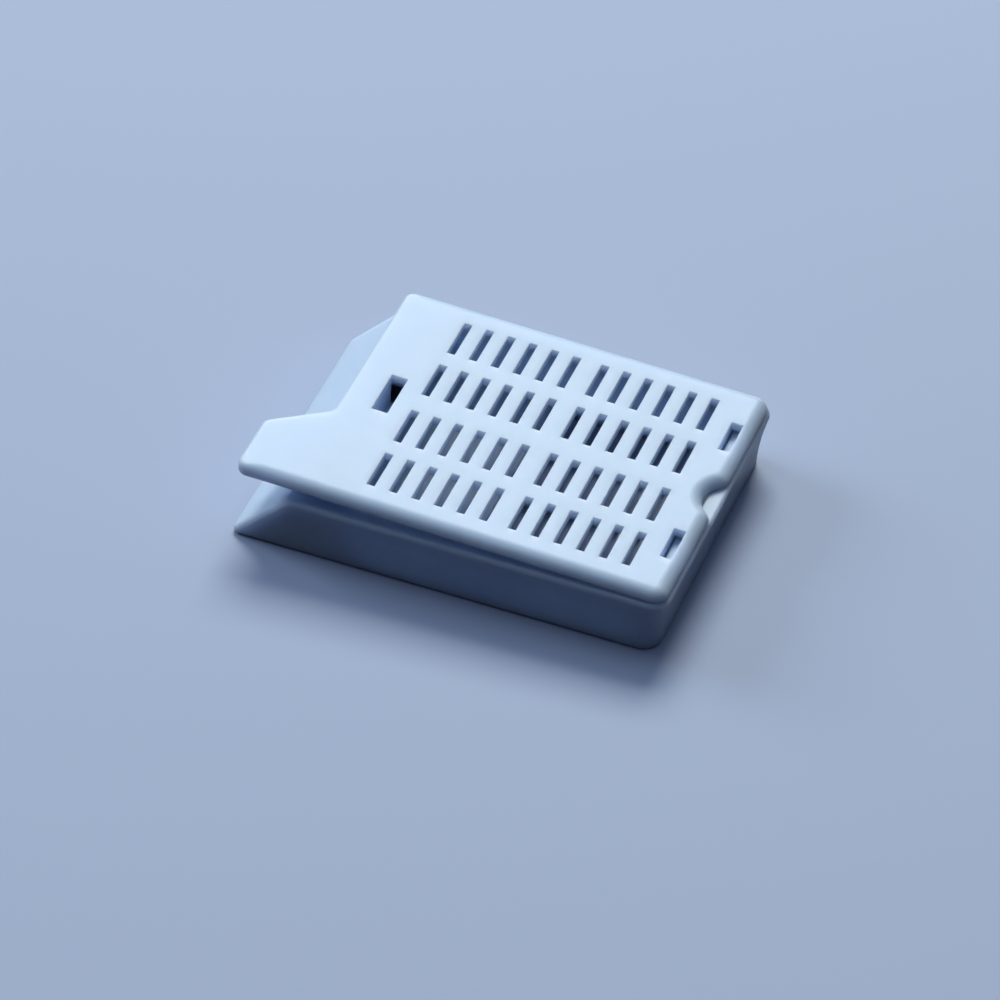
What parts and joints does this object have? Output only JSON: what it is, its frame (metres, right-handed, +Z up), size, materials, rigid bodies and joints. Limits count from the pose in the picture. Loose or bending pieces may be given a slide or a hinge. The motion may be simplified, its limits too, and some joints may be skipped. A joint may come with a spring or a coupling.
{
  "type": "tissue cassette",
  "caption": "Slotted plastic cassette that holds a tissue specimen through processing, with a sloping writing face, a snap lid with a finger tab, and a finger notch at the hinge end.",
  "frame": {"origin": "middle of the underside of the tray, on the plane it stands on", "axes": "+X towards the hinge end with the finger notch, -X towards the sloping writing face, +Z up out of the tray, and the lid's finger tab on the -Y side"},
  "size_m": [0.0396, 0.0286, 0.0082],
  "materials": {
    "base_plastic": "satin moulded plastic, very pale ice blue",
    "lid_plastic": "satin moulded plastic, very pale ice blue"
  },
  "bodies": {
    "tray": {"cassette_base": "base_plastic"},
    "lid": {"cassette_lid": "lid_plastic"}
  },
  "joints": [
    {"name": "lid_hinge", "type": "hinge", "parent": "tray", "child": "lid", "pos_m": [0.01958, 0, 0.00597], "axis": [0, 1, 0], "range_deg": [-1.98, 68]}
  ]
}
